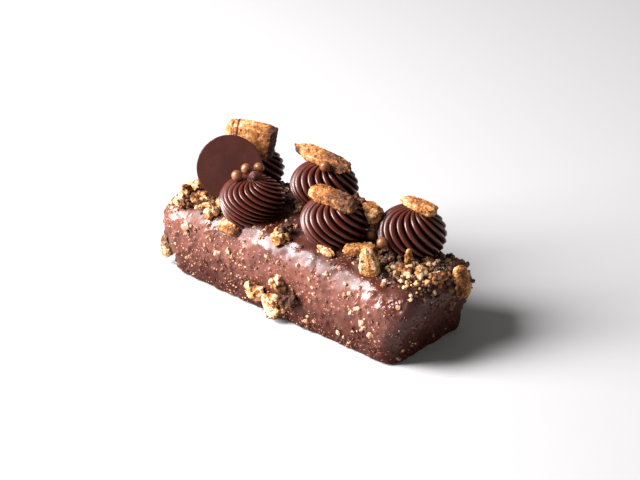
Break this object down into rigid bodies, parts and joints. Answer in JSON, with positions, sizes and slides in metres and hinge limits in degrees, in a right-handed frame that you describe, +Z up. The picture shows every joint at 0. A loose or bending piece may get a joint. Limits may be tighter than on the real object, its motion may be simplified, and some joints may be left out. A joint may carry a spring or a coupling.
{
  "type": "chocolate loaf cake",
  "caption": "Glazed chocolate loaf cake with chopped nuts, topped with piped rosettes, a thin chocolate disc, broken cookie pieces and crunchy pearls.",
  "frame": {"origin": "middle of the flat underside of the loaf", "axes": "+X along the loaf, +Z up, and the long side with the low cluster of cookie pieces faces -Y"},
  "size_m": [0.1767, 0.0729, 0.0795],
  "materials": {
    "glaze": "satin milk chocolate glaze with chopped nuts",
    "cream": "piped chocolate cream with a soft sheen",
    "disc": "tempered chocolate, satin",
    "pearl": "caramel brown, polished",
    "cookie": "golden baked cookie, crumbly",
    "chip": "dark chocolate, broken"
  },
  "bodies": {
    "root": {"chip_front_middle": "chip", "chip_left_corner": "chip", "chip_low_middle": "chip", "chip_nib_middle": "chip", "chocolate_disc": "disc", "cookie_back_middle": "cookie", "cookie_back_right": "cookie", "cookie_block": "cookie", "cookie_chunk_front": "cookie", "cookie_edge": "cookie", "cookie_front_middle": "cookie", "cookie_front_middle_end": "cookie", "cookie_left_back": "cookie", "cookie_left_bit": "cookie", "cookie_left_corner": "cookie", "cookie_left_end": "cookie", "cookie_left_front": "cookie", "cookie_left_inner": "cookie", "cookie_left_middle": "cookie", "cookie_low_left": "cookie", "cookie_low_middle": "cookie", "cookie_low_right": "cookie", "cookie_nib_end": "cookie", "cookie_nib_middle": "cookie", "cookie_nib_right": "cookie", "cookie_right_block": "cookie", "cookie_right_end": "cookie", "cookie_shard": "cookie", "cookie_sliver": "cookie", "cookie_strip": "cookie", "cookie_tall": "cookie", "loaf": "glaze", "pearl_back_middle": "pearl", "pearl_front_back": "pearl", "pearl_front_right": "pearl", "pearl_left_high": "pearl", "pearl_left_low": "pearl", "pearl_left_middle": "pearl", "rosette_back_left": "cream", "rosette_back_middle": "cream", "rosette_back_right": "cream", "rosette_front_left": "cream", "rosette_front_middle": "cream"}
  },
  "joints": []
}
